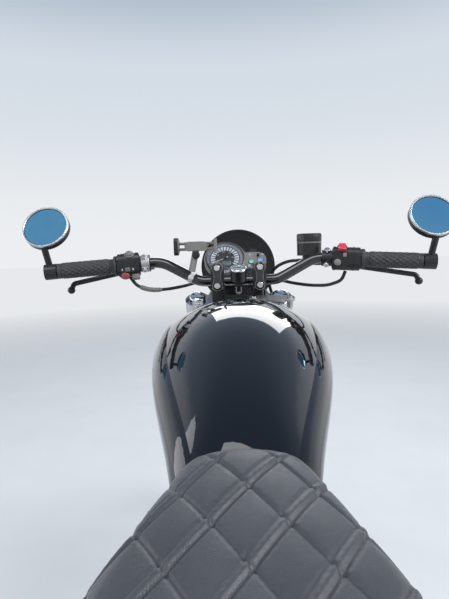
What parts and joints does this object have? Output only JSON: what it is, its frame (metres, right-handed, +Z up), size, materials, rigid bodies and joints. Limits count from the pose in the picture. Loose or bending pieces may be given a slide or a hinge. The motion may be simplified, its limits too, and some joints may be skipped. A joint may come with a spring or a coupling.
{
  "type": "cafe racer motorcycle",
  "caption": "Air-cooled twin cafe racer motorcycle with wire wheels, quilted seat, low bars and bar-end mirrors, on its centre stand.",
  "frame": {"origin": "on the floor, under the middle of the whole machine's length and width", "axes": "+Y forward, +X to the rider's right, +Z up"},
  "size_m": [0.8742, 2.1069, 1.1261],
  "materials": {
    "tyre": "black tyre rubber",
    "polished_rim": "polished alloy rim",
    "polished_alloy": "polished cast alloy",
    "raw_alloy": "raw matt alloy",
    "satin_alloy": "satin alloy",
    "disc_steel": "ground steel",
    "bright_steel": "bright steel",
    "chain_steel": "oiled steel",
    "hard_chrome": "chrome plate",
    "gloss_black": "gloss black paint",
    "tank_black": "deep gloss black paint",
    "frame_black": "satin gloss black frame paint",
    "satin_black": "satin black coating",
    "engine_black": "heat-proof black paint",
    "black_plastic": "black moulded plastic",
    "grey_plastic": "grey moulded plastic",
    "gauge_housing": "grey-beige housing",
    "grip_rubber": "knurled grip rubber",
    "black_rubber": "black hose rubber",
    "mirror_glass": "blue-tinted mirror glass",
    "lamp_glass": "clear lamp glass",
    "smoked_screen": "smoked screen",
    "red_lens": "red lamp lens",
    "quilted_leather": "dark charcoal quilted leather"
  },
  "bodies": {
    "frame": {"frame_spine": "frame_black", "frame_cradle": "frame_black", "frame_subframe": "frame_black", "fuel_tank": "tank_black", "seat_cushion": "quilted_leather", "seat_pan": "black_plastic", "tail_lamp": "red_lens", "rear_mudguard": "gloss_black", "engine_cases": "polished_alloy", "engine_barrels": "engine_black", "engine_head": "raw_alloy", "carburettors": "raw_alloy", "exhaust_headers": "hard_chrome", "silencers": "hard_chrome", "swingarm": "frame_black", "rear_axle": "bright_steel", "rear_brake_plate": "polished_alloy", "rear_shocks": "hard_chrome", "drive_chain": "chain_steel", "rearsets": "satin_alloy", "battery_box": "black_plastic", "stand_bracket": "frame_black"},
    "steering": {"yokes": "polished_alloy", "fork_stanchions": "hard_chrome", "fork_lowers": "polished_alloy", "front_axle": "bright_steel", "front_mudguard": "gloss_black", "brake_caliper": "satin_black", "handlebar": "gloss_black", "bar_risers": "satin_black", "grips": "grip_rubber", "mirrors": "satin_black", "mirror_glasses": "mirror_glass", "left_switchgear": "raw_alloy", "clutch_lever": "satin_black", "right_switchgear": "black_plastic", "brake_master": "satin_black", "gauge": "gauge_housing", "headlamp_shell": "satin_black", "headlamp_lens": "lamp_glass", "flyscreen": "smoked_screen", "phone_clamp": "grey_plastic", "control_cables": "black_rubber", "bar_clock": "satin_black", "left_loom": "black_rubber", "right_loom": "black_rubber"},
    "front_wheel": {"front_tyre": "tyre", "front_rim": "polished_rim", "front_hub": "polished_alloy", "front_disc": "disc_steel"},
    "rear_wheel": {"rear_tyre": "tyre", "rear_rim": "polished_rim", "rear_hub": "polished_alloy", "rear_sprocket": "disc_steel"},
    "centre_stand": {"centre_stand": "frame_black"},
    "side_stand": {"side_stand": "frame_black"}
  },
  "joints": [
    {"name": "steering_turn", "type": "hinge", "parent": "frame", "child": "steering", "pos_m": [0, 0.42817, 0.80953], "axis": [0, -0.454, 0.891], "range_deg": [-32, 32]},
    {"name": "front_wheel_spin", "type": "hinge", "parent": "steering", "child": "front_wheel", "pos_m": [0, 0.7225, 0.331], "axis": [-1, 0, 0], "continuous": true},
    {"name": "rear_wheel_spin", "type": "hinge", "parent": "frame", "child": "rear_wheel", "pos_m": [0, -0.7175, 0.348], "axis": [-1, 0, 0], "continuous": true},
    {"name": "centre_stand_fold", "type": "hinge", "parent": "frame", "child": "centre_stand", "pos_m": [0, -0.165, 0.195], "axis": [-1, 0, 0], "range_deg": [0, 85]},
    {"name": "side_stand_swing", "type": "hinge", "parent": "frame", "child": "side_stand", "pos_m": [-0.084, 0.175, 0.195], "axis": [0.6198, 0, -0.7848], "range_deg": [0, 105]}
  ]
}
